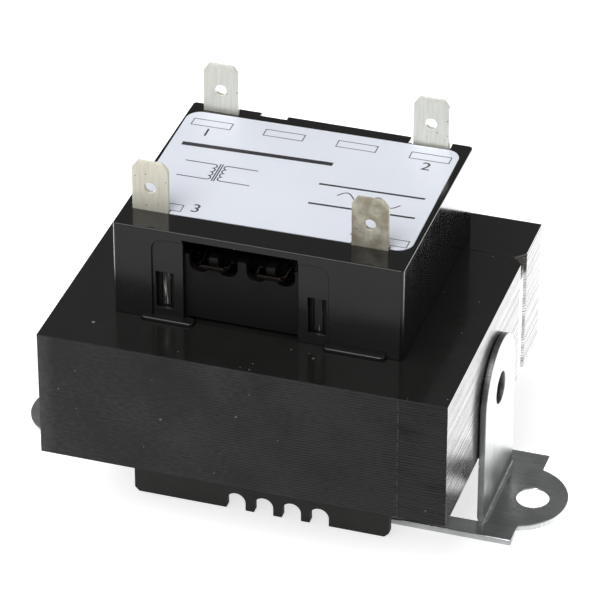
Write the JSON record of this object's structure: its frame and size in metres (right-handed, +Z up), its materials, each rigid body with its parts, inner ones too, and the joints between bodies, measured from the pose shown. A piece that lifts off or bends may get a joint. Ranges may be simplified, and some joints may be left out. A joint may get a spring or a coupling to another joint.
{
  "type": "chassis-mount electrical transformer",
  "caption": "Low-voltage chassis transformer: laminated steel core, combed bobbin, black terminal housing with quick-connect blades, and plated mounting feet.",
  "frame": {"origin": "middle of the overall box in X and Y, at the level of the feet's undersides", "axes": "+Z up through the terminal housing, +X along the core from one mounting foot to the other, -Y towards the secondary terminals; the coil's axis runs along Y"},
  "size_m": [0.0984, 0.0596, 0.0645],
  "materials": {
    "core_steel": "black varnish over stacked steel sheets, glossy on top, satin with sheet lines on the sides",
    "weld_steel": "rippled weld metal",
    "bobbin_nylon": "moulded black, fine satin",
    "housing_plastic": "moulded black, glossy on top, satin on the legs",
    "copper_wire": "enamelled copper, dark with dipped varnish",
    "winding_tape": "black film tape with a faint sheen",
    "tinned_brass": "dull tin plating with scuffs",
    "solder": "smooth solder",
    "label_film": "bluish white printed film, satin",
    "zinc_plate": "bright zinc plated sheet"
  },
  "bodies": {
    "root": {"e_laminations": "core_steel", "i_laminations": "core_steel", "weld_bead_right": "weld_steel", "weld_bead_left": "weld_steel", "plate_tacks": "weld_steel", "bobbin": "bobbin_nylon", "terminal_housing": "housing_plastic", "primary_winding": "copper_wire", "secondary_winding": "copper_wire", "primary_wrap": "winding_tape", "secondary_wrap": "winding_tape", "secondary_left_terminal": "tinned_brass", "secondary_right_terminal": "tinned_brass", "primary_left_terminal": "tinned_brass", "primary_right_terminal": "tinned_brass", "solder_joints": "solder", "rating_label": "label_film", "right_foot": "zinc_plate", "left_foot": "zinc_plate"}
  },
  "joints": []
}
